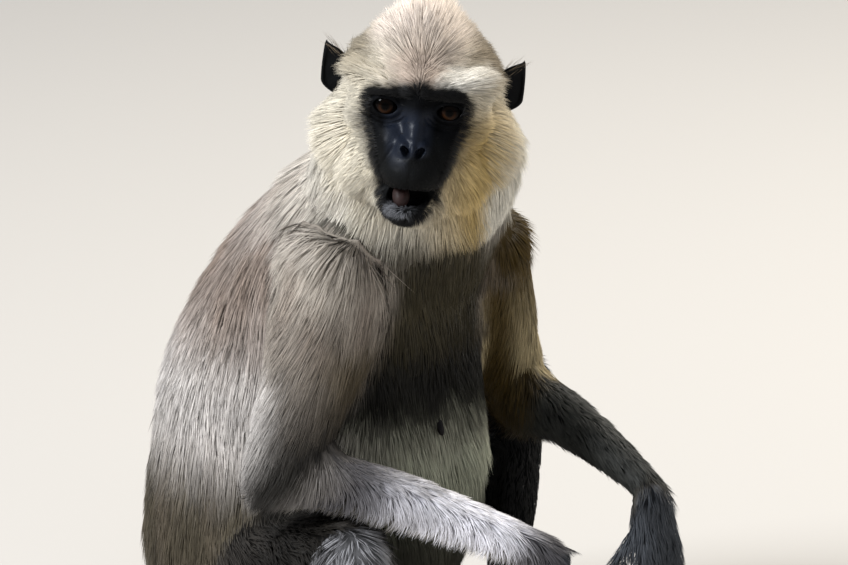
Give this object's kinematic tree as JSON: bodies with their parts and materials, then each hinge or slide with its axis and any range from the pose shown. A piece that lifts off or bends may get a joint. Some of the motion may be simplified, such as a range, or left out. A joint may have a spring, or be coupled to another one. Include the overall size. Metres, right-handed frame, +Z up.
{
  "type": "seated langur monkey",
  "caption": "Life-size grey langur sitting on the ground, hunched, forearms over its spread knees and hands hanging, dark face turned to one side, long tail laid out behind.",
  "frame": {"origin": "on the ground, at the middle of the flat that the seat rests on", "axes": "+Z up; the face looks along -Y and the tail lies along +Y, so +X is to the left of the face as it looks ahead"},
  "size_m": [0.3647, 0.9723, 0.4864],
  "materials": {
    "coat": "fine straight hair, silver brown-grey",
    "mane": "fine straight hair, cream",
    "limb_coat": "short hair, dark slate grey with silver tips",
    "skin": "bare black skin, soft sheen",
    "eye": "wet, dark amber-brown",
    "tongue": "moist"
  },
  "bodies": {
    "root": {"abdomen": "coat", "chest": "coat", "ear_left": "skin", "ear_right": "skin", "eye_left": "eye", "eye_right": "eye", "foot_left": "limb_coat", "foot_right": "limb_coat", "forearm_left": "limb_coat", "forearm_right": "limb_coat", "hand_left": "limb_coat", "hand_right": "limb_coat", "head": "mane", "neck": "mane", "shank_left": "limb_coat", "shank_right": "limb_coat", "tail_end": "coat", "tail_middle": "coat", "tail_root": "coat", "tail_tip": "coat", "thigh_left": "coat", "thigh_right": "coat", "tongue": "tongue", "upper_arm_left": "coat", "upper_arm_right": "coat"}
  },
  "joints": []
}
